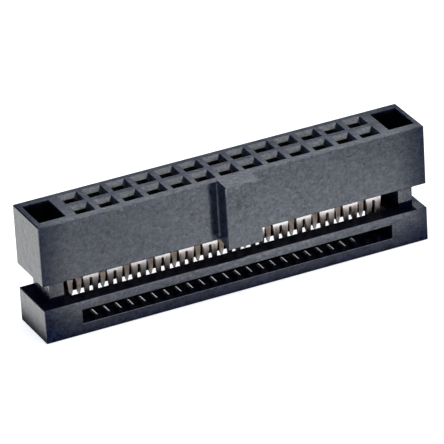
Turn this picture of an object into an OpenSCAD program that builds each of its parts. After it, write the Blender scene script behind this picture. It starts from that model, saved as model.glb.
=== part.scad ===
// Two-row insulation-displacement socket for flat ribbon cable, all sizes in millimetres.
// The origin is the centre of the cover's flat underside. X runs along the rows, -Y is the side
// with the key, and +Z points to the face that takes the header's pins.
// The cover stands in its open place, as it is before the ribbon is pressed in.

/* [Contact grid] */
// Number of columns, each with a front and a back contact
columns = 13; // [3:1:25]
// Distance between neighbouring columns
pitch = 2.54; // [2.5:0.01:2.6]
// Distance between the front row and the back row
row_gap = 2.54; // [2.5:0.01:2.6]

/* [Shared body] */
// Depth of the housing and of the cover, without the key
body_d = 5.92; // [5.8:0.02:6.4]
// Distance from the last column to the end face
end_span = 5.34; // [5.2:0.02:6.2]
// Radius of the upright corners
corner_r = 0.1; // [0.05:0.05:0.4]
// Bevel on the long top and bottom edges
edge_bevel = 0.1; // [0.05:0.01:0.15]

/* [Housing] */
// Height of the housing
housing_h = 6.34; // [5.8:0.02:8]
// Open space between the cover's top and the housing's underside
open_gap = 2.51; // [2.2:0.01:2.6]
// Space that is left between them when the cover is pressed home
closed_gap = 0.2; // [0.15:0.01:0.3]
// Width of the key that fits the header's slot
key_w = 3.7; // [2.5:0.1:5]
// How far the key stands out of the front face
key_out = 1.95; // [0.8:0.05:2.4]

/* [Pin cavities] */
// Width of the square funnel at the top face
funnel_w = 2; // [1.7:0.02:2.1]
// Width of the square pin hole under the funnel
pin_hole_w = 1.16; // [0.9:0.02:1.3]
// Thickness of the wall above the contact chamber
chamber_roof = 0.9; // [0.6:0.05:1.2]

/* [Latch] */
// Thickness of the housing's wall outside each end pocket
end_wall = 0.55; // [0.4:0.05:0.7]
// Length of each end pocket
pocket_l = 2.78; // [2.6:0.02:2.9]
// Width of each end pocket
pocket_w = 4.04; // [3.4:0.02:4.3]
// Thickness of a latch arm
arm_t = 1.5; // [1.2:0.05:1.6]
// Space between a latch arm and its pocket's outer wall
arm_room = 0.53; // [0.4:0.01:0.6]
// How far the end of an arm stays below the top face when the cover is pressed home
arm_short = 0.3; // [0.1:0.05:0.8]
// Side clearance of a latch arm in its pocket
arm_clear = 0.08; // [0.04:0.01:0.15]
// Height of the ledge that keeps the latch from pulling out
ledge_h = 0.85; // [0.5:0.05:1.2]
// Play between the barb and the ledge in the open place
barb_play = 0.04; // [0.02:0.01:0.08]
// Height of the barb's sloping top
barb_slope = 1.1; // [0.6:0.1:1.4]

/* [Cover] */
// Height of the cover's block
cover_h = 3.61; // [3.5:0.01:4.2]
// Thickness of the floor under the ribbon
floor_t = 1.17; // [1:0.01:1.3]
// Height of the ribbon window
window_h = 1.48; // [1.3:0.01:1.6]
// Free width beside the outer wires of the ribbon
window_side = 0.16; // [0.05:0.01:0.3]
// Bevel round the mouth of the ribbon window
mouth_bevel = 0.03; // [0.02:0.01:0.15]
// Height of the ribs that keep the wires apart
rib_h = 0.62; // [0.4:0.01:0.7]
// Width of a rib
rib_w = 0.36; // [0.2:0.01:0.4]
// Slope of the rib's roof, in degrees
rib_roof = 25; // [15:1:35]
// Length of a rib, front to back
rib_l = 1.15; // [0.6:0.05:1.3]
// Distance from the front face to a rib
rib_setback = 0.1; // [0.08:0.01:0.25]
// Width of the well over the ribbon, which the blades come down
well_w = 2.7; // [2.6:0.02:2.9]
// Height of the lip under each long bar, which holds the ribbon down
lip_h = 0.26; // [0.1:0.01:0.3]
// Length of that lip, front to back
lip_l = 0.55; // [0.3:0.05:0.7]
// Clearance between the blade tips and the sides of their pockets
tip_room = 0.1; // [0.05:0.01:0.15]
// Clearance between the outer blades and the ends of the well
well_end = 0.25; // [0.1:0.01:0.3]
// Clearance under the blade tips when the cover is pressed home
tip_clear = 0.06; // [0.04:0.01:0.1]
// Diameter of the ejector marks on the underside
ejector_d = 1.8; // [1:0.1:2.4]

/* [Contacts] */
// Thickness of the contact sheet
sheet_t = 0.3; // [0.22:0.01:0.34]
// Width of a forked blade
blade_w = 1.7; // [1.6:0.02:1.84]
// Width of a blade at its tips
tip_w = 1.4; // [1.3:0.02:1.44]
// Width of the slot that grips the wire
slot_w = 0.3; // [0.2:0.01:0.34]
// Width of the slot where the wire enters
slot_mouth = 1; // [0.8:0.02:1.04]
// Height of the slanted lead-in at the blade tips
lead_in = 0.42; // [0.3:0.02:0.5]
// How deep the blade tips stand in the cover when it is open
tip_depth = 1.05; // [0.6:0.01:1.1]
// Shift of a blade towards the middle, from its pin axis
blade_in = 0.7; // [0.6:0.01:0.76]
// Width of a spring beam
beam_w = 0.95; // [0.7:0.05:1.1]
// Gap between the spring beams where they grip the pin
beam_grip = 0.5; // [0.4:0.02:0.6]
// Width of the header's square pin
pin_w = 0.64; // [0.6:0.01:0.66]
// Free space between the pin and the upright foot of a beam
pin_free = 0.04; // [0.02:0.01:0.08]
// Clearance between a contact and its chamber
contact_clear = 0.05; // [0.03:0.01:0.08]

/* [Hidden] */
front_names = [for (i = [1:columns]) str("contact_front_", i)];
back_names = [for (i = [1:columns]) str("contact_back_", i)];
$fn = 48;
eps = 0.01;

plastic = [0.20, 0.21, 0.24];
cover_plastic = [0.17, 0.18, 0.21];
tinned = [0.80, 0.74, 0.62];

span = (columns - 1) * pitch;
body_l = span + 2 * end_span;
wire_pitch = pitch / 2;
blade_side = pitch / 4;
blade_y = row_gap / 2 - blade_in;
housing_z = cover_h + open_gap;
top_z = housing_z + housing_h;

window_l = columns * pitch + 2 * window_side;
window_top = floor_t + window_h;
well_l = span + 2 * blade_side + blade_w + 2 * well_end;
travel = open_gap - closed_gap;
tip_pocket_z = cover_h - tip_depth - travel - tip_clear;

pocket_out = body_l / 2 - end_wall;
arm_out = pocket_out - arm_room;
arm_w = pocket_w - 2 * arm_clear;
ledge_out = arm_room - arm_clear;
barb_out = arm_room - arm_clear;
barb_z = housing_z + ledge_h + barb_play;
barb_lip = 0.15;
arm_top = cover_h + housing_h + closed_gap - arm_short;
arm_lead = 0.5;

beam_in = pin_w / 2 + pin_free;
beam_out = beam_in + sheet_t;
chamber_w = 2 * (beam_out + contact_clear);
chamber_l = 1.5;
chamber_h = housing_h - chamber_roof;
web_z = 0.33;
shoulder_h = web_z + sheet_t;
shoulder_l = 0.55;
blade_tip = -open_gap - tip_depth;
blade_neck = -0.9;
slot_top = -1.45;
tine_shoulder = blade_tip + 1.3;

module rounded_plan(l, d, r) {
    square([l - 2 * r, d], center = true);
    square([l, d - 2 * r], center = true);
    for (x = [-1, 1], y = [-1, 1])
        translate([x * (l / 2 - r), y * (d / 2 - r)]) circle(r);
}

module bevelled_side(l, h, c) {
    polygon([
        [-l / 2 + c, 0], [l / 2 - c, 0], [l / 2, c], [l / 2, h - c],
        [l / 2 - c, h], [-l / 2 + c, h], [-l / 2, h - c], [-l / 2, c]
    ]);
}

// Draws a profile of X and Z and gives it a depth along Y, centred
module along_y(d) {
    rotate([90, 0, 0]) linear_extrude(d, center = true) children();
}

// Draws a profile of Y and Z and gives it a length along X, centred
module along_x(l) {
    rotate([90, 0, 90]) linear_extrude(l, center = true) children();
}

// A block with round upright corners and a bevel on its top and bottom edges
module moulded_block(l, d, h, c) {
    intersection() {
        linear_extrude(h) rounded_plan(l, d, corner_r);
        along_y(d + 1) bevelled_side(l, h, c);
        along_x(l + 1) bevelled_side(d, h, c);
    }
}

module taper(w_low, w_high, h) {
    polygon([[-w_low / 2, 0], [w_low / 2, 0], [w_high / 2, h], [-w_high / 2, h]]);
}

// Puts its children on the pin axis of one contact, turned to face out of its row
module contact_place(column, side) {
    x = (column - (columns - 1) / 2) * pitch;
    translate([x, side * row_gap / 2, 0]) rotate([0, 0, side > 0 ? 180 : 0]) children();
}

module each_contact() {
    for (column = [0:columns - 1], side = [-1, 1])
        contact_place(column, side) children();
}

// Square funnel, pin hole, contact chamber and blade slot of one contact
module cavity() {
    funnel_h = (funnel_w - pin_hole_w) / 2;
    over = funnel_w + 2 * eps;
    translate([0, 0, top_z - funnel_h]) intersection() {
        along_y(over) taper(pin_hole_w, over, funnel_h + eps);
        along_x(over) taper(pin_hole_w, over, funnel_h + eps);
    }
    translate([-pin_hole_w / 2, -pin_hole_w / 2, top_z - chamber_roof - eps])
        cube([pin_hole_w, pin_hole_w, chamber_roof]);
    translate([-chamber_l / 2, -chamber_w / 2, housing_z - eps])
        cube([chamber_l, chamber_w, chamber_h + eps]);
    slot_l = shoulder_l + blade_side + blade_w / 2 + 2 * contact_clear;
    slot_d = sheet_t + 2 * contact_clear;
    translate([-shoulder_l - contact_clear, blade_in - slot_d / 2, housing_z - eps])
        cube([slot_l, slot_d, shoulder_h + contact_clear + eps]);
}

// End pocket that runs through the housing, with the ledge for the latch left standing
module end_pocket() {
    difference() {
        translate([pocket_out - pocket_l, -pocket_w / 2, housing_z - eps])
            cube([pocket_l, pocket_w, housing_h + 2 * eps]);
        translate([pocket_out, 0, housing_z]) along_y(pocket_w + 1) polygon([
            [-ledge_out, -1], [1, -1], [1, ledge_h], [-ledge_out, ledge_h]
        ]);
    }
}

module key() {
    depth = key_out + 2 * corner_r;
    translate([0, -body_d / 2 - key_out + depth / 2, housing_z])
        moulded_block(key_w, depth, housing_h, edge_bevel);
}

module housing() {
    color(plastic) difference() {
        union() {
            translate([0, 0, housing_z]) moulded_block(body_l, body_d, housing_h, edge_bevel);
            key();
        }
        each_contact() cavity();
        for (turn = [0, 180]) rotate([0, 0, turn]) end_pocket();
    }
}

// Springy arm with an outward barb that waits above the housing's ledge
module latch_arm() {
    barb_top = barb_z + barb_lip;
    points = [
        [-arm_t, cover_h - eps], [0, cover_h - eps], [0, barb_z], [barb_out, barb_z],
        [barb_out, barb_top], [0, barb_top + barb_slope], [0, arm_top - arm_lead],
        [-arm_lead, arm_top], [-arm_t + arm_lead / 2, arm_top], [-arm_t, arm_top - arm_lead / 2]
    ];
    translate([arm_out, 0, 0]) along_y(arm_w) polygon(points);
}

module window_mouth() {
    outer_l = window_l + 2 * mouth_bevel;
    outer_h = window_h + 2 * mouth_bevel;
    translate([0, 0, floor_t + window_h / 2]) intersection() {
        linear_extrude(outer_h + 1, center = true)
            translate([0, -body_d / 2 - eps]) taper(outer_l + 2 * eps, window_l, mouth_bevel + eps);
        rotate([90, 0, 90]) linear_extrude(outer_l + 1, center = true)
            translate([-body_d / 2 - eps, 0]) rotate(-90)
                taper(outer_h + 2 * eps, window_h, mouth_bevel + eps);
    }
}

// Rib between two wires, with upright sides and a roof that leads a wire into its groove
module wire_rib() {
    half = rib_w / 2;
    wall_h = rib_h - half * tan(rib_roof);
    translate([0, -body_d / 2 + rib_setback + rib_l / 2, floor_t]) along_y(rib_l)
        polygon([[-half, -eps], [half, -eps], [half, wall_h], [0, rib_h], [-half, wall_h]]);
}

// Lip along the inner edge of the front bar's underside
module ribbon_lip() {
    translate([-window_l / 2 - eps, -well_w / 2 - lip_l, window_top - lip_h])
        cube([window_l + 2 * eps, lip_l, lip_h + eps]);
}

// Blind pocket in the floor that one blade's tips dip into
module tip_pocket() {
    l = blade_w - 0.1;
    d = sheet_t + 2 * tip_room;
    translate([blade_side - l / 2, blade_in - d / 2, tip_pocket_z])
        cube([l, d, floor_t - tip_pocket_z + eps]);
}

// Shallow round marks that the mould's ejector pins leave on the underside
module ejector_marks() {
    for (column = [1, 3]) for (side = [-1, 1])
        translate([side * column * pitch * (columns - 1) / 6.5, 0, -eps])
            cylinder(h = 0.05 + eps, d = ejector_d);
}

module cover() {
    color(cover_plastic) {
        difference() {
            moulded_block(body_l, body_d, cover_h, edge_bevel);
            translate([-window_l / 2, -body_d / 2 - 1, floor_t])
                cube([window_l, body_d + 2, window_h]);
            for (turn = [0, 180]) rotate([0, 0, turn]) window_mouth();
            translate([-well_l / 2, -well_w / 2, floor_t])
                cube([well_l, well_w, cover_h]);
            each_contact() tip_pocket();
            ejector_marks();
        }
        for (wire = [1:2 * columns - 1])
            translate([(wire - columns) * wire_pitch, 0, 0]) wire_rib();
        for (turn = [0, 180]) rotate([0, 0, turn]) {
            ribbon_lip();
            latch_arm();
        }
    }
}

// Half of the blade's outline, from its neck to the tip of one tine
module blade_half() {
    difference() {
        polygon([
            [0, shoulder_h], [blade_w / 2, shoulder_h], [blade_w / 2, blade_neck],
            [tip_w / 2 + 0.05, tine_shoulder], [tip_w / 2, blade_tip + 0.2],
            [tip_w / 2 - 0.06, blade_tip], [slot_mouth / 2, blade_tip],
            [slot_w / 2 + 0.07, blade_tip + lead_in], [slot_w / 2, tine_shoulder], [0, tine_shoulder]
        ]);
        translate([-slot_w, blade_tip]) square([1.5 * slot_w, slot_top - slot_w / 2 - blade_tip]);
        translate([0, slot_top - slot_w / 2]) circle(d = slot_w);
    }
}

// Flat forked blade with the shoulder that seats in the housing's underside
module blade() {
    translate([0, blade_in, 0]) along_y(sheet_t) {
        translate([blade_side, 0]) {
            blade_half();
            mirror([1, 0]) blade_half();
        }
        translate([-shoulder_l, 0.05]) square([shoulder_l + blade_side, shoulder_h - 0.05]);
    }
}

// One spring beam: upright at its root, leaning in to the pin, flaring at its tip
module beam() {
    grip = beam_grip / 2;
    tip = chamber_h - 0.2;
    inner = [
        [beam_in, web_z], [beam_in, 1.6], [grip, tip - 0.75], [grip, tip - 0.5], [grip + 0.12, tip]
    ];
    outer = [for (k = [len(inner) - 1:-1:0]) inner[k] + [sheet_t, 0]];
    along_x(beam_w) polygon(concat(inner, outer));
}

// Two-beam socket for the pin, its folded web and the forked blade, all of one sheet
module contact() {
    color(tinned) translate([0, 0, housing_z]) {
        blade();
        translate([-beam_w / 2, -beam_out, web_z]) cube([beam_w, 2 * beam_out, sheet_t]);
        beam();
        mirror([0, 1, 0]) beam();
    }
}

housing();
cover();
for (i = [0:columns - 1]) {
    contact_place(i, -1) contact();
    contact_place(i, 1) contact();
}
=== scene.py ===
# %% [markdown]
# # A ribbon cable socket in its open place
#
# This socket joins a flat ribbon cable to a header with two rows of square pins. It has a
# moulded housing, a moulded cover that waits below it on two latch arms, and 26 stamped
# contacts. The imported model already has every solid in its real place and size. This lesson
# adds the finish: the small radii that a mould leaves, the satin of the plastic, the plating
# of the contacts, and a bright studio that dark plastic can reflect. Housing and cover
# become copies with one small change each, and the contacts are made again as bent sheet.

import math

import bmesh
import bpy
from mathutils import Matrix, Vector


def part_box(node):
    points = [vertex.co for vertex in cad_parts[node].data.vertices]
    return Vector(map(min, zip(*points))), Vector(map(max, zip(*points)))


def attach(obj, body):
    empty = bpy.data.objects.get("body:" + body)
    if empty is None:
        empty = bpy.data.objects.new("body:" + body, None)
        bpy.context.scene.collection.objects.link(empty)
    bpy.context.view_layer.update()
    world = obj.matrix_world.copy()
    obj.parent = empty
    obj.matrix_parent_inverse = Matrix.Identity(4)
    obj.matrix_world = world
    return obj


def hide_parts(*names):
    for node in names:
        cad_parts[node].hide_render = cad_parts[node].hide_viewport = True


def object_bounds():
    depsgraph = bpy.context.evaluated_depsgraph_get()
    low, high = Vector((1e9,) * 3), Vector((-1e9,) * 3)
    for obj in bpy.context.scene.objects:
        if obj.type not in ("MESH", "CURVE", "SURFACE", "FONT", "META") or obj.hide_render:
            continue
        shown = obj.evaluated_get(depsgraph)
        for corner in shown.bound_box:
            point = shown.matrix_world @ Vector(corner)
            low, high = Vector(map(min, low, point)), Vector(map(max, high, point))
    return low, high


MM = 0.001

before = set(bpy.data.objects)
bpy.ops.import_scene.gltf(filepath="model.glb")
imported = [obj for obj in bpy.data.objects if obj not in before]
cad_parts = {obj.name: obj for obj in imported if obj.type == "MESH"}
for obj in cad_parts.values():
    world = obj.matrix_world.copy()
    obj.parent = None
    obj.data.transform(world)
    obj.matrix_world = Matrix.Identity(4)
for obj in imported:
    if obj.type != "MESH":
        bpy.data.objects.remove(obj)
bpy.context.view_layer.update()
cad_low, cad_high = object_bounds()
scene = bpy.context.scene
print("packed model, mm:", [round(x / MM, 2) for x in (*cad_low, *cad_high)])

# %% [markdown]
# Most places that the lesson needs come from the model itself. The housing's box gives its
# underside, its top face and its ends. The cover's box gives the front and back faces that
# both blocks share, because the housing's own box holds the key as well.

# %% Find the places on the model
housing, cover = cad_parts["housing"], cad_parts["cover"]
housing_low, housing_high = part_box("housing")
cover_low, cover_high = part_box("cover")
body_centre = (cad_low + cad_high) / 2
print("housing underside at", round(housing_low.z / MM, 2), "mm, blocks",
      round((cover_high.y - cover_low.y) / MM, 2), "mm deep")

# %% [markdown]
# ## Two tools for shapes
#
# Two tools do most of the shaping below. A bmesh pushes a flat outline, drawn as a list of
# corners, to a solid. A Boolean joins two solids, or cuts one with the other, and leaves no
# faces inside. It needs closed solids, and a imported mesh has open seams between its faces,
# so a weld closes those first.

# %% From an outline to a solid, and from two solids to one
seam = 0.0001 * MM


def on_scene(name, mesh):
    made = bpy.data.objects.new(name, mesh)
    scene.collection.objects.link(made)
    return made


def pushed(name, corners, axis, start, stop):
    def at(a, b, along):
        return {"X": (along, a, b), "Y": (a, along, b)}[axis]

    shape = bmesh.new()
    face = shape.faces.new([shape.verts.new(at(a, b, start)) for a, b in corners])
    grown = bmesh.ops.extrude_face_region(shape, geom=[face])["geom"]
    shift = Vector(at(0, 0, stop)) - Vector(at(0, 0, start))
    corners_moved = [part for part in grown if isinstance(part, bmesh.types.BMVert)]
    bmesh.ops.translate(shape, vec=shift, verts=corners_moved)
    bmesh.ops.recalc_face_normals(shape, faces=shape.faces)
    mesh = bpy.data.meshes.new(name)
    shape.to_mesh(mesh)
    shape.free()
    return on_scene(name, mesh)


def weld_seams(solid):
    weld = solid.modifiers.new("weld seams", "WELD")
    weld.merge_threshold = seam


def joined_mesh(solid, tool, how):
    step = solid.modifiers.new("join or cut", "BOOLEAN")
    step.operation, step.solver, step.object = how, "EXACT", tool
    bpy.context.view_layer.update()
    made = bpy.data.meshes.new_from_object(
        solid.evaluated_get(bpy.context.evaluated_depsgraph_get()))
    for spent in (solid, tool):
        bpy.data.objects.remove(spent)
    return made


# %% [markdown]
# ## The lips of the ribbon window
#
# The ribbon lies in a long window through the cover, under a lip on each side of the well
# for the blades. White ground shows through gap, well and back window, in a row of small
# bright squares under the blades, and the height of the squares tells how thick the lips
# are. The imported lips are 0.26 mm thick, and the squares ask for 0.09 mm. One pass of a
# cutter along each lip would take the rest off, so two long bars cut a copy of the cover.

# %% Thin the lips of the ribbon window
window_end = 16.67 * MM
lip_inner, lip_outer = 1.30 * MM, 1.95 * MM
cut_low, cut_high = 2.30 * MM, 2.56 * MM


def with_thin_lips(node):
    mesh = node.data.copy()
    for side in (-1, 1):
        corners = [(side * lip_inner, cut_low), (side * lip_outer, cut_low),
                   (side * lip_outer, cut_high), (side * lip_inner, cut_high)]
        bar = pushed("lip_cutter", corners, "X", -window_end, window_end)
        block = on_scene("cover_copy", mesh)
        weld_seams(block)
        mesh = joined_mesh(block, bar, "DIFFERENCE")
    return mesh


moulded_cover = on_scene("moulded_cover", with_thin_lips(cover))
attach(moulded_cover, "cover")
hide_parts("cover")
print("faces of the cover:", len(moulded_cover.data.polygons), "packed:",
      len(cover.data.polygons))

# %% [markdown]
# ## The foot of the key
#
# The key is the rib on the front face that lets the socket into its header one way round.
# Its foot isn't level: it slopes, so that the front edge stands lower than the back. The
# packed key ends level, so the housing becomes a copy too. The copy is split along the front
# face, and the corners of the key's foot come down in step with how far out they stand: by
# 0.36 mm for the front edge, which stands out 1.95 mm.

# %% Slope the foot of the key
front_face, foot_reach = -2.96 * MM, 0.3 * MM
foot_drop, key_out = 0.36 * MM, 1.95 * MM
on_face = 0.001 * MM


def with_sloped_foot(node):
    shape = bmesh.new()
    shape.from_mesh(node.data)
    bmesh.ops.remove_doubles(shape, verts=shape.verts, dist=seam)
    bmesh.ops.bisect_plane(shape, geom=shape.verts[:] + shape.edges[:] + shape.faces[:],
                           dist=seam, plane_co=(0, front_face, 0), plane_no=(0, 1, 0))
    foot = [corner for corner in shape.verts if front_face - corner.co.y > on_face
            and corner.co.z < housing_low.z + foot_reach]
    for corner in foot:
        corner.co.z -= foot_drop * (front_face - corner.co.y) / key_out
    mesh = node.data.copy()
    shape.to_mesh(mesh)
    shape.free()
    print("corners of the key's foot moved:", len(foot))
    return mesh


moulded_housing = on_scene("moulded_housing", with_sloped_foot(housing))
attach(moulded_housing, "socket")
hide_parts("housing")

# %% [markdown]
# ## Edges
#
# Nothing that comes out of a mould or a press tool has an edge of no radius. A mould cut by
# a cutter leaves a few hundredths of a millimetre, and that thin line is what catches the
# light on black plastic. The meshes are made of triangles. So three modifiers weld their
# seams, join their flat faces again, and run a bevel along every edge that turns by more
# than thirty degrees.

# %% Round the edges of housing and cover
mould_radius = 0.04 * MM
flat_angle, edge_angle = math.radians(0.5), math.radians(30)


def bevel(solid, radius, segments):
    rounding = solid.modifiers.new("round edges", "BEVEL")
    rounding.width, rounding.segments = radius, segments
    rounding.limit_method, rounding.angle_limit = "ANGLE", edge_angle


for solid in (moulded_housing, moulded_cover):
    weld_seams(solid)
    flats = solid.modifiers.new("join flats", "DECIMATE")
    flats.decimate_type, flats.angle_limit = "DISSOLVE", flat_angle
    bevel(solid, mould_radius, 2)
    print("rounded edges on", solid.name)

# %% [markdown]
# ## The forked contacts
#
# Each contact is one stamping. A flat blade with a slot hangs below the housing and bites
# through the cable's insulation. Above it the same sheet is bent into a narrow U whose two
# legs lean in and spring against the header's pin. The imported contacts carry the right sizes
# but plain square bends and a slot that opens too little at its mouth. So each of them is
# made again here as bent sheet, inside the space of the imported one, and takes its place.
#
# Both outlines are drawn as plain lists of corners in millimetres. The zero point is where
# the pin's axis meets the underside of the housing. A slot drawn as part of the outline
# needs no cutting tool, and half an outline is enough, because the blade is symmetrical. A
# shoulder above the blade reaches along the row to the springs.

# %% The outline of the blade
sheet = 0.30
blade_to_side, blade_inwards = 0.635, 0.70
half_blade, half_slot, slot_centre = 0.85, 0.15, -1.60
shoulder_low, shoulder_high, shoulder_end = 0.05, 0.63, -0.55


def round_corner(centre, radius, first, last, steps=6):
    turns = [math.radians(first + (last - first) * k / steps) for k in range(steps + 1)]
    return [(centre[0] + radius * math.cos(t), centre[1] + radius * math.sin(t)) for t in turns]


slot_round = round_corner((0, slot_centre), half_slot, 90, 0)
tine = [(half_slot, -2.06), (0.21, -2.24), (0.24, -3.14), (0.38, -3.56), (0.47, -3.56),
        (0.58, -3.28), (0.67, -2.95), (0.73, -2.26), (half_blade, -0.90)]
right_half = slot_round + tine
left_half = [(-x, z) for x, z in reversed(right_half[1:])]
fork = left_half + right_half + [(half_blade, shoulder_high)]
shoulder = [(shoulder_end, shoulder_high), (shoulder_end, shoulder_low),
            (blade_to_side - half_blade, shoulder_low)]
blade_outline = [(x + blade_to_side, z) for x, z in fork] + shoulder
print("corners of the blade:", len(blade_outline))

# %% [markdown]
# The U is drawn in the same way, seen along the row: down one leg, round the two bends and
# up the other. A bend in sheet keeps its thickness, so the outer radius is the inner radius
# plus one thickness.

# %% The outline of the bent springs
bend_centre, bend_radius = (0.28, 0.71), 0.08
spring = [(0.36, 1.60), (0.25, 4.49), (0.25, 4.74), (0.37, 5.24)]


def other_leg(outline):
    return [(-y, z) for y, z in outline]


inner_side = round_corner(bend_centre, bend_radius, -90, 0) + spring
outer_side = (round_corner(bend_centre, bend_radius + sheet, -90, 0)
              + [(y + sheet, z) for y, z in spring])
u_outline = (other_leg(inner_side)[::-1] + inner_side
             + outer_side[::-1] + other_leg(outer_side))
print("corners of the springs:", len(u_outline))

# %% [markdown]
# Each outline is pushed to the thickness or width it has, and a Boolean joins blade and
# springs. The thirteen front contacts stand as drawn. The back row is turned half round, so
# that its blades fall between those of the front row, one for every wire of the cable. A
# press tool leaves a smaller radius than a mould.

# %% One solid, and two rows of thirteen
half_spring = 0.475
stamping_radius = 0.02 * MM
pitch, columns = 2.54 * MM, 13


def stamped_contact():
    blade = pushed("blade", blade_outline, "Y", blade_inwards - sheet / 2,
                   blade_inwards + sheet / 2)
    springs = pushed("springs", u_outline, "X", -half_spring, half_spring)
    joined = joined_mesh(blade, springs, "UNION")
    joined.transform(Matrix.Scale(MM, 4))
    return joined


def row_of_contacts(row, side, turn):
    made = []
    for count in range(1, columns + 1):
        name = f"contact_{row}_{count}"
        place = Vector(((count - (columns + 1) / 2) * pitch, side * pitch / 2, housing_low.z))
        mesh = one_contact.copy()
        mesh.transform(Matrix.Translation(place) @ Matrix.Rotation(turn, 4, "Z"))
        piece = on_scene(f"stamped_{name}", mesh)
        bevel(piece, stamping_radius, 1)
        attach(piece, "socket")
        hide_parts(name)
        made.append(piece)
    return made


one_contact = stamped_contact()
contacts = row_of_contacts("front", -1, 0) + row_of_contacts("back", 1, math.pi)
print("contacts:", len(contacts), "with", len(one_contact.polygons), "faces each")

# %% [markdown]
# ## Helpers for the materials
#
# Every finish below is a tree of nodes: some read a place or a direction, some do sums, and
# the last one is the surface. The first helpers make a material, add a node, and plug a
# plain value or another node into a socket.

# %% Materials, nodes and plugs
plain = (1, 1, 1)


def plug(tree, value, socket):
    if isinstance(value, bpy.types.NodeSocket):
        tree.links.new(value, socket)
    elif socket.type == "RGBA":
        socket.default_value = (*value, 1)
    else:
        socket.default_value = value


def new_material(name, **constants):
    made = bpy.data.materials.new(name)
    made.use_nodes = True
    surface = made.node_tree.nodes["Principled BSDF"]
    for socket, value in constants.items():
        plug(made.node_tree, value, surface.inputs[socket.replace("_", " ")])
    return made, made.node_tree, surface


def add(tree, kind, *values, **settings):
    node = tree.nodes.new(kind)
    for name, value in settings.items():
        setattr(node, name, value)
    for value, socket in zip(values, node.inputs):
        plug(tree, value, socket)
    return node


# %% [markdown]
# The next helpers do the sums with numbers and vectors and mix two colours, so that a finish
# reads as a few lines of arithmetic. Two more ask what a node tree can know of a point: its
# place or its normal, and the three parts of that along X, Y and Z.

# %% Sums, places and mixes
def number(tree, operation, *values):
    return add(tree, "ShaderNodeMath", *values, operation=operation).outputs[0]


def times(tree, first, *others):
    for other in others:
        first = number(tree, "MULTIPLY", first, other)
    return first


def vector(tree, operation, *values):
    outputs = add(tree, "ShaderNodeVectorMath", *values, operation=operation).outputs
    return outputs["Value" if operation in ("LENGTH", "DOT_PRODUCT") else "Vector"]


def of_point(tree, what):
    return add(tree, "ShaderNodeTexCoord").outputs[what]


def axes_of(tree, value):
    return add(tree, "ShaderNodeSeparateXYZ", value).outputs


def mixed(tree, share, one, other):
    mix = add(tree, "ShaderNodeMix", data_type="RGBA")
    for socket, value in (("Factor", share), ("A", one), ("B", other)):
        plug(tree, value, mix.inputs[socket])
    return mix.outputs["Result"]


# %% [markdown]
# The last helpers make the patterns. A noise is a cloud of a given fineness. It uses object
# coordinates in millimetres, so that it keeps its real size and rides with the part. A range
# takes a span of the value to the levels that are wanted, a ramp turns it into colours, and
# a bump turns it into relief.

# %% Noises, ranges, ramps and bumps
def place_in_mm(tree, stretch=(1, 1, 1)):
    scaled = add(tree, "ShaderNodeMapping", of_point(tree, "Object"))
    scaled.inputs["Scale"].default_value = [s / MM for s in stretch]
    return scaled.outputs["Vector"]


def cloud(tree, place, per_mm, detail=2.0, rough=0.5, swirl=0.0):
    noise = add(tree, "ShaderNodeTexNoise")
    for socket, value in (("Vector", place), ("Scale", per_mm), ("Detail", detail),
                          ("Roughness", rough), ("Distortion", swirl)):
        plug(tree, value, noise.inputs[socket])
    return noise.outputs["Fac"]


def to_range(tree, value, low, high, span=(0.3, 0.7)):
    spread = add(tree, "ShaderNodeMapRange")
    for socket, end in (("Value", value), ("From Min", span[0]), ("From Max", span[1]),
                        ("To Min", low), ("To Max", high)):
        plug(tree, end, spread.inputs[socket])
    return spread.outputs["Result"]


def fade_to(tree, share, rest):
    return to_range(tree, share, 1, rest, (0, 1))


def ramp_of(tree, value, stops, longest=1, brightest=1):
    ramp = add(tree, "ShaderNodeValToRGB", value)
    marks = ramp.color_ramp.elements
    while len(marks) < len(stops):
        marks.new(0.5)
    for mark, (place, level, tint) in zip(marks, stops):
        mark.position = place / longest
        mark.color = (*(level / brightest * share for share in tint), 1)
    return ramp.outputs["Color"]


def bumps(tree, height, depth, under=None):
    bump = add(tree, "ShaderNodeBump")
    bump.inputs["Distance"].default_value = depth
    plug(tree, height, bump.inputs["Height"])
    if under is not None:
        plug(tree, under, bump.inputs["Normal"])
    return bump.outputs["Normal"]


# %% [markdown]
# ## The moulded plastic
#
# Both blocks are a glass-filled thermoplastic in dark slate grey. Its gloss changes from place
# to place: at random, as a melt leaves it, and where highlight and shade are painted into it.
#
# The inside is painted darker than the outside: the walls of the pin holes and the pockets,
# where shade falls, get a painted black colour and weaker reflections. How deep a point lies
# under the block's skin is the smallest of its distances to the six sides of the block. The key
# and the latch arms stand outside their blocks, so they count as skin too.

# %% How deep a point lies inside a block
def inside_of(tree, low, high, shallow, deep):
    centre, half = (low + high) / 2, (high - low) / 2
    from_centre = vector(tree, "SUBTRACT", of_point(tree, "Object"), centre)
    folded = vector(tree, "ABSOLUTE", from_centre)
    depths = axes_of(tree, vector(tree, "SUBTRACT", half, folded))
    least = number(tree, "MINIMUM", depths["X"], depths["Y"])
    least = number(tree, "MINIMUM", least, depths["Z"])
    return to_range(tree, least, 0, 1, (shallow * MM, deep * MM))


# %% [markdown]
# The share of gloss falls over the last three millimetres of the long faces, so that their
# reflections grow darker towards the ends.
# The end faces themselves are left out, which their normal tells: how much of it lies along
# the part.

# %% How close a point is to an end of the long faces
end_reach = 3.2 * MM
long_face = (0.4, 0.7)


def near_end_of(tree, end):
    along = number(tree, "ABSOLUTE", axes_of(tree, of_point(tree, "Object"))["X"])
    sideways = number(tree, "ABSOLUTE", axes_of(tree, of_point(tree, "Normal"))["X"])
    near = to_range(tree, along, 0, 1, (end - end_reach, end))
    return times(tree, near, to_range(tree, sideways, 1, 0, long_face))
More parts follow.
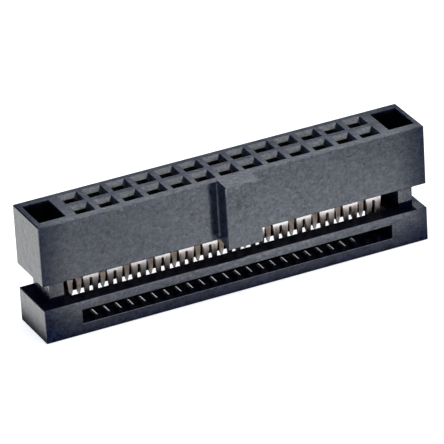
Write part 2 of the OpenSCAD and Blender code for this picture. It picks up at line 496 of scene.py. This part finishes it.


# %% [markdown]
# The roofs of the ribs in the ribbon window are the one inner place that is left out of the
# painted shade, so that their highlights show. They are told by their slope: the normal leans
# along the part and points up. The last two ribs at the right end keep the painted shade, as in
# the photo.

# %% The sloping roofs of the ribs
roof_lean, roof_rise = (0.30, 0.38), (0.80, 0.87)
# Past this place the roofs of the ribs keep the painted shade.
last_unshaded_rib = (13.2 * MM, 13.4 * MM)


def roofs_of_ribs(tree):
    normal, place = (axes_of(tree, of_point(tree, what)) for what in ("Normal", "Object"))
    leaning = to_range(tree, number(tree, "ABSOLUTE", normal["X"]), 0, 1, roof_lean)
    upward = to_range(tree, normal["Z"], 0, 1, roof_rise)
    return times(tree, leaning, upward, to_range(tree, place["X"], 1, 0, last_unshaded_rib))


# %% [markdown]
# The top face isn't equally glossy either: its reflection is painted brighter on the key's side
# and darker towards the back. The list gives the gloss at places in millimetres behind the
# key's front.

# %% The gloss on the top face, from the key's side to the back
most_gloss = 1.4
top_start, top_depth = -5, 8
top_face = (0.9, 0.98)
# Painted reflection on the top face: brighter on the key's side, darker towards the back.
painted_reflection_to_back = [(place, level, plain) for place, level in
                  [(0, 1.32), (1.1, 1.20), (2.35, 1.03), (3.8, 0.50), (5, 0.30), (6.2, 0.28),
                   (7.6, 0.14)]]


def front_to_back(tree):
    normal, place = (axes_of(tree, of_point(tree, what)) for what in ("Normal", "Object"))
    along = to_range(tree, place["Y"], 0, 1, (top_start * MM, (top_start + top_depth) * MM))
    on_top = ramp_of(tree, along, painted_reflection_to_back, top_depth, most_gloss)
    upward = to_range(tree, normal["Z"], 0, 1, top_face)
    return mixed(tree, upward, [1 / most_gloss] * 3, on_top)


# %% [markdown]
# All these shares are multiplied, and a swirling cloud varies the result, as the melt does.
# The painted shade of the cores is given by the share of gloss that is left there and the two
# depths between which it falls. A corner with a painted highlight or painted shade is given by
# its box, a softness, and its share.
#
# The relief has three sizes: soft waves that the flow of the melt leaves, the orange peel of
# shrinking plastic, and the fine grain that spark-eroded steel prints. Each is one noise at
# its own scale, laid over the last, given by its fineness and its depth. All depths are in
# millimetres.

# %% Gloss and relief of a moulding
cloudy_gloss = (0.31 * most_gloss, 0.69 * most_gloss)
relief = [(1.0, 0.040), (3.2, 0.018), (9.0, 0.003)]


def gloss_of(tree, place, block, end, end_gloss, core_gloss, painted_gloss_corners):
    marbling = cloud(tree, place, per_mm=2.3, detail=3, rough=0.6, swirl=1.5)
    left_in_cores, *dull_depths = core_gloss
    ends = fade_to(tree, near_end_of(tree, end), end_gloss)
    # Painted shade: weaker reflections inside the block, except on the roofs of the ribs.
    cores = fade_to(tree, inside_of(tree, *block, *dull_depths), left_in_cores)
    shade_but_roofs = number(tree, "MAXIMUM", cores, roofs_of_ribs(tree))
    share = times(tree, ends, front_to_back(tree), shade_but_roofs)
    for low, high, softness, left in painted_gloss_corners:
        share = times(tree, share, fade_to(tree, inside_of(tree, low, high, 0, softness), left))
    return times(tree, to_range(tree, marbling, *cloudy_gloss), share)


def relief_of(tree, place):
    normal = None
    for per_mm, depth in relief:
        normal = bumps(tree, cloud(tree, place, per_mm), depth * MM, under=normal)
    return normal


# %% [markdown]
# The colour is a near black that goes cloudy with a dark slate where the glass fibre lies close
# to the skin, and is painted black as shade on the walls of the cores. The index of refraction
# is higher than that of plain plastic, so that the glints are strong although most of the skin
# is dull. Housing and cover have a material each, because the block and its depths differ.

# %% The plastic itself
smoothest, roughest = 0.13, 0.27


def moulded_plastic(name, block, end, skin, end_gloss, painted_core_shade, core_depth, core_gloss,
                    painted_gloss_corners=()):
    made, tree, surface = new_material(name, IOR=1.8)
    place = place_in_mm(tree)
    patches = cloud(tree, place, per_mm=1.7, detail=4, rough=0.6, swirl=1.2)
    dark, light = skin
    skin_colour = ramp_of(tree, patches, [(0.38, 1, dark), (0.62, 1, light)])
    # Painted shade: black colour on the walls inside the block.
    colour = mixed(tree, inside_of(tree, *block, *core_depth), skin_colour, painted_core_shade)
    satin = cloud(tree, place, per_mm=2.2, detail=5, rough=0.7)
    plug(tree, colour, surface.inputs["Base Color"])
    plug(tree, to_range(tree, satin, smoothest, roughest), surface.inputs["Roughness"])
    gloss = gloss_of(tree, place, block, end, end_gloss, core_gloss, painted_gloss_corners)
    plug(tree, gloss, surface.inputs["Specular IOR Level"])
    plug(tree, relief_of(tree, place), surface.inputs["Normal"])
    return made


# %% [markdown]
# The housing's block leaves the key outside. In the corner beside the key's left flank a strip
# of the face has its reflection painted darker, as a painted reflection of the key's dark
# flank, and the fillet where key and face meet has a painted highlight, a fine bright line.
#
# The cover's block goes on above the cover's top face, so the floor of the gap, under the
# housing, gets the painted shade too and stays as dark as in the photo. At the left it holds
# the foot of the latch arm too, which gets painted shade as well. At the right it ends where
# the arm begins, because that arm is lit.

# %% Housing and cover in plastic
# The cover's block reaches over the gap's floor and the left shoulder, which get painted shade.
arm_side, left_end, gap_dark_top = 19.55 * MM, 20.55 * MM, 4.28 * MM
housing_block = (Vector((housing_low.x, cover_low.y, housing_low.z)),
                 Vector((housing_high.x, cover_high.y, housing_high.z)))
cover_block = (Vector((-left_end, cover_low.y, cover_low.z)),
               Vector((arm_side, cover_high.y, gap_dark_top)))


def upright_box(across, along, above_foot=0, under_top=0):
    return (Vector((across[0] * MM, along[0] * MM, housing_low.z + above_foot * MM)),
            Vector((across[1] * MM, along[1] * MM, housing_high.z - under_top * MM)))


# Painted shade on a strip beside the key, and a painted highlight on the key's fillet.
painted_shade_beside_key = (*upright_box((-2.80, -1.60), (-4.8, -2.6)), 0.25, 0.32)
painted_highlight_on_key_fillet = (*upright_box((-1.98, -1.72), (-3.09, -2.83), 0.35, 0.25), 0.03, 6)
moulded_housing.material_slots[0].material = moulded_plastic(
    "housing_plastic", housing_block, housing_high.x,
    skin=((0.001, 0.003, 0.011), (0.012, 0.020, 0.045)), end_gloss=0.20,
    painted_core_shade=(0.0015, 0.002, 0.003), core_depth=(0.04, 0.30), core_gloss=(0.25, 0.2, 0.9),
    painted_gloss_corners=[painted_shade_beside_key, painted_highlight_on_key_fillet])
moulded_cover.material_slots[0].material = moulded_plastic(
    "cover_plastic", cover_block, cover_high.x,
    skin=((0.001, 0.003, 0.012), (0.012, 0.018, 0.048)), end_gloss=0.15,
    painted_core_shade=(0.0025, 0.003, 0.008), core_depth=(0.03, 0.09), core_gloss=(0.01, 0.02, 0.07))
for solid in (moulded_housing, moulded_cover):
    print(solid.name, "in", solid.material_slots[0].material.name)

# %% [markdown]
# ## The plated strip
#
# The contacts are stamped from strip that was plated on one side before it was cut. So the
# outer broad faces are pale and bright, the inner ones show the bronze, and the sheared
# edges are browner still. The broad faces of blade and beams look along Y, so the part of
# the normal that lies along X picks out the sheared edges. A face is an outer one when its
# normal and its place lie on the same side of the middle, which their product tells.
#
# Two things change with the height. Towards the tips the colour turns to the darker, pinker
# worn tone. And the inner faces are matte, most of all in a band above the tips, while the tips
# themselves are as smooth as the outer faces.

# %% The colour of the strip
plated_tone_heights, plated_tone_share = (4.1 * MM, 4.8 * MM), (0.55, 1.1)
sheared_side, broad_sides = (0.35, 0.75), (-0.1 * MM, 0.1 * MM)


def strip_colour(tree, normal, place, inner, plated, worn, bare, sheared):
    wear = times(tree, cloud(tree, place_in_mm(tree), per_mm=3.0, detail=3),
                 to_range(tree, place["Z"], *plated_tone_share, plated_tone_heights))
    plating = ramp_of(tree, wear, [(0.3, 1, worn), (0.7, 1, plated)])
    edge = to_range(tree, number(tree, "ABSOLUTE", normal["X"]), 0, 1, sheared_side)
    return mixed(tree, edge, mixed(tree, inner, plating, bare), sheared)


# %% [markdown]
# Rolling leaves fine streaks along the strip, so the noise of the finish is drawn out along
# the height. It sets how rough a place is, and its fine relief too.

# %% The finish of the strip
matte_heights, matte_added = (3.9 * MM, 4.6 * MM), (0.55, 0.17)
above_tips = (3.2 * MM, 3.7 * MM)
smooth_streak, rough_streak, streak_depth = 0.26, 0.44, 0.004 * MM
along_strip = (6, 6, 0.6)


def stamped_strip(name, **colours):
    made, tree, surface = new_material(name, Metallic=1.0)
    normal, place = (axes_of(tree, of_point(tree, what)) for what in ("Normal", "Object"))
    inner = to_range(tree, times(tree, normal["Y"], place["Y"]), 1, 0, broad_sides)
    streaks = cloud(tree, place_in_mm(tree, along_strip), per_mm=1.0, detail=3)
    matte = times(tree, to_range(tree, place["Z"], *matte_added, matte_heights),
                  to_range(tree, place["Z"], 0, 1, above_tips))
    rough = number(tree, "ADD", to_range(tree, streaks, smooth_streak, rough_streak),
                   times(tree, inner, matte))
    colour = strip_colour(tree, normal, place, inner, **colours)
    plug(tree, colour, surface.inputs["Base Color"])
    plug(tree, rough, surface.inputs["Roughness"])
    plug(tree, bumps(tree, streaks, streak_depth), surface.inputs["Normal"])
    return made


contact_metal = stamped_strip("contact_metal", plated=(0.97, 0.94, 0.92),
                              worn=(0.93, 0.80, 0.74), bare=(1.0, 0.90, 0.83),
                              sheared=(0.34, 0.22, 0.15))
for contact in contacts:
    contact.data.materials.append(contact_metal)
print("metal:", contact_metal.name, "on", len(contacts), "contacts")

# %% [markdown]
# ## The studio
#
# Dark, satin plastic shows little colour of its own. What the eye reads on it is the
# reflection of the room, so the room is built with care: a white floor, a white surround,
# and one large soft lamp above. The floor is plain white paper. It gets a little glow of its
# own for the camera, so that it stays white where no shadow falls.

# %% The floor
def white_floor(size, below):
    half = size / 2
    mesh = bpy.data.meshes.new("floor")
    corners = [(-half, -half, 0), (half, -half, 0), (half, half, 0), (-half, half, 0)]
    mesh.from_pydata(corners, [], [(0, 1, 2, 3)])
    made = on_scene("floor", mesh)
    made.location.z = -below
    return made


floor = white_floor(size=2.0, below=0.01 * MM)
print("floor, m:", list(floor.dimensions))

# %% [markdown]
# The paper has two jobs. Seen straight on it is white, with the soft shadow where the part
# stands. In the satin sides of the part it shows as a mirror image, and there it has to fall
# off to black towards the foot of the part, because a part that stands on paper hides the
# light from the paper next to it. Light Path tells the two kinds of ray apart.
#
# How bright the mirrored paper is goes by the place on it, as the product of three ramps.
# The first goes by the distance from the part's foot, and past the two ends each millimetre
# counts four times. The second goes along the part: a dark pool near the left end, then
# brighter and a little cooler to the right. The third goes away from the front face in
# strips, and the far ones are the brightest. Each stop is a place in millimetres, a level
# and a tint.

# %% How bright the mirrored paper is
cool = (0.93, 0.97, 1.0)
fade_length, past_ends = 24, 4
foot_fades = [(place, level, plain) for place, level in
              [(0, 0.02), (0.6, 0.07), (1.2, 0.18), (1.8, 0.21), (3.3, 0.38), (4.9, 0.63),
               (5.9, 0.72), (6.4, 0.80), (7, 1.0), (12, 0.95), (24, 0.86)]]
pool_start, pool_length, cool_from = -26, 66, 15
pool = [(place, level, cool if place >= cool_from else plain) for place, level in
        [(0, 0.82), (4.6, 0.76), (5.4, 0.12), (7, 0.20), (8, 0.40), (9, 0.54), (10, 0.60),
         (11.5, 0.67), (15, 0.66), (20, 0.66), (28, 0.87), (34, 1.0), (40, 0.88), (47, 0.85),
         (50, 0.76), (53, 0.62), (66, 0.42)]]
strips_length, brightest_strip = 60, 2.4
strips = [(place, level, plain) for place, level in
          [(0, 1), (6.4, 1), (7, 1.7), (8.6, 1.7), (9.8, 0.8), (11, 0.82), (12.5, 0.94),
           (18, 1.0), (20.2, 1.0), (21.2, 0.55), (22, 0.25), (25, 0.25), (27, 1.0),
           (32, 1.8), (60, 2.2)]]


def from_foot(tree, place, half_length, half_depth):
    beyond = vector(tree, "SUBTRACT", vector(tree, "ABSOLUTE", place),
                    (half_length, half_depth, 1))
    outside = vector(tree, "MAXIMUM", beyond, (0, 0, 0))
    longest = fade_length * MM
    return vector(tree, "LENGTH", vector(tree, "MULTIPLY", outside,
                                         (past_ends / longest, 1 / longest, 0)))


def mirrored_paper(tree):
    place = add(tree, "ShaderNodeNewGeometry").outputs["Position"]
    half_depth = (cover_high.y - cover_low.y) / 2
    foot = from_foot(tree, place, cad_high.x, half_depth)
    axes = axes_of(tree, place)
    across = to_range(tree, axes["X"], 0, 1, (pool_start * MM, (pool_start + pool_length) * MM))
    ahead = to_range(tree, axes["Y"], 0, 1, (-half_depth, -half_depth - strips_length * MM))
    both = vector(tree, "MULTIPLY", ramp_of(tree, foot, foot_fades, fade_length),
                  ramp_of(tree, across, pool, pool_length))
    return vector(tree, "MULTIPLY", both,
                  ramp_of(tree, ahead, strips, strips_length, brightest_strip))


# %% [markdown]
# A ramp holds no level above 1, so the strips are divided by the brightest one, and the
# strength of the mirrored paper takes that back. Rays that bounce off something glossy, or
# pass through something clear, see the mirrored paper. All others see the plain one.

# %% The paper
# The mirrored paper is a painted reflection: an emission with a painted shadow at the part's
# foot, seen only by glossy and transmission rays.
def paper(name, glow, mirrored):
    made, tree, surface = new_material(name, Base_Color=(0.9, 0.9, 0.9), Roughness=0.9,
                                       Emission_Color=plain)
    ray = add(tree, "ShaderNodeLightPath").outputs
    plug(tree, number(tree, "MULTIPLY", ray["Is Camera Ray"], glow),
         surface.inputs["Emission Strength"])
    image = add(tree, "ShaderNodeEmission", mirrored_paper(tree), mirrored * brightest_strip)
    either = number(tree, "MAXIMUM", ray["Is Glossy Ray"], ray["Is Transmission Ray"])
    choose = add(tree, "ShaderNodeMixShader", either, surface.outputs[0], image.outputs[0])
    plug(tree, choose.outputs[0], tree.nodes["Material Output"].inputs["Surface"])
    return made


floor.data.materials.append(paper("white_paper", glow=0.55, mirrored=2.05))
print(floor.name, "in", floor.data.materials[0].name)

# %% [markdown]
# The surround is a tent of white cloth, a little cooler than the paper. Two sides of it are
# dark: the front, which is open for the camera, and a slit behind the left end. The open
# front keeps the ledges in the gap and the contacts' lower halves dark, and the slit makes
# the funnels' right walls read as black. Two low sides, in front and behind, are brighter,
# so that the plated blades and the polished ribs have something to mirror. The world's
# direction vector says which way a ray goes, so the shade follows the room and not the
# camera. The camera itself sees plain white.
#
# Each side is a cone: the way it lies, its outer and its inner angle in degrees, and its
# brightness inside the inner one.

# %% The surround
tent_tint = (0.94, 0.985, 1.06)
open_front = ((0.1, -0.80, 0.60), 28, 17, 0.06)
left_slit = ((-0.454, 0.811, 0.368), 38, 20, 0.02)
low_front = ((0.3, -0.95, 0.02), 34, 16, 2.0)
low_behind = ((0.30, 0.95, -0.10), 28, 20, 2.4)


def side_of_tent(tree, towards, outer, inner, level):
    lined_up = vector(tree, "DOT_PRODUCT", of_point(tree, "Generated"),
                      Vector(towards).normalized())
    cone = [math.cos(math.radians(angle)) for angle in (outer, inner)]
    return to_range(tree, lined_up, 1, level, cone)


def surround(strength):
    world = bpy.data.worlds.new("light_tent")
    world.use_nodes = True
    scene.world = world
    tree = world.node_tree
    front, slit, low, behind = (side_of_tent(tree, *side) for side in
                                (open_front, left_slit, low_front, low_behind))
    shade = times(tree, times(tree, front, slit), times(tree, low, behind))
    seen = mixed(tree, add(tree, "ShaderNodeLightPath").outputs["Is Camera Ray"],
                 vector(tree, "MULTIPLY", shade, tent_tint), [1 / strength] * 3)
    sky = tree.nodes["Background"]
    plug(tree, seen, sky.inputs["Color"])
    sky.inputs["Strength"].default_value = strength
    return world


print("surround:", surround(0.95).name)

# %% [markdown]
# The lamp is a softbox, almost as wide as it is far away. It hangs high in front, to the
# right, and lays the soft shadow behind the part and to its left.

# %% The lamp
def soft_lamp(name, towards, away, size, power):
    light = bpy.data.lights.new(name, "AREA")
    light.shape = "SQUARE"
    light.size = size
    light.energy = power
    light.color = cool
    made = bpy.data.objects.new(name, light)
    made.location = body_centre + Vector(towards).normalized() * away
    made.rotation_euler = (made.location - body_centre).to_track_quat("Z", "Y").to_euler()
    scene.collection.objects.link(made)
    return made


lamp = soft_lamp("softbox_above", towards=(0.37, -0.45, 0.81), away=0.30, size=0.24, power=0.21)
print("lamp:", lamp.name, "at", [round(x, 2) for x in lamp.location], "m")

# %% [markdown]
# ## The camera
#
# The photograph was taken with a long lens from the front left, about 27 degrees above the
# floor, and the camera was tilted a little. The angles were found by fitting the corners of
# the housing and the cover. The image is 444 by 444 pixels, so a focal length in pixels
# turns into millimetres of lens on a 36 mm sensor.

# %% The camera
image_px, focal_px, sensor_width = 444, 5125.5, 36
centre_px = (223.8, 224.3)
azimuth, elevation, tilt = (math.radians(a) for a in (-24.44, 27.03, -3.49))
distance, target = 495.7 * MM, Vector((0, 0, 6.0 * MM))
nearest, farthest = 0.01, 10


def aim_camera():
    back = Vector((math.sin(azimuth) * math.cos(elevation),
                   -math.cos(azimuth) * math.cos(elevation), math.sin(elevation)))
    right = (-back).cross(Vector((0, 0, 1))).normalized()
    up = right.cross(-back)
    level = Matrix((right, up, back)).transposed()
    turned = level @ Matrix.Rotation(tilt, 3, "Z")
    lens = bpy.data.cameras.new("camera")
    lens.sensor_width = sensor_width
    lens.lens = focal_px / image_px * sensor_width
    lens.shift_x = (image_px / 2 - centre_px[0]) / image_px
    lens.shift_y = (centre_px[1] - image_px / 2) / image_px
    lens.clip_start, lens.clip_end = nearest, farthest
    made = bpy.data.objects.new("camera", lens)
    made.matrix_world = Matrix.Translation(target + back * distance) @ turned.to_4x4()
    scene.collection.objects.link(made)
    scene.camera = made
    return made


camera = aim_camera()
scene.view_settings.view_transform = "Standard"
print("lens, mm:", round(camera.data.lens, 1))

# %% [markdown]
# ## Sizes
#
# The finish mustn't change the part's size. The last step brings the scene up to date.

# %% Update the scene
bpy.context.view_layer.update()
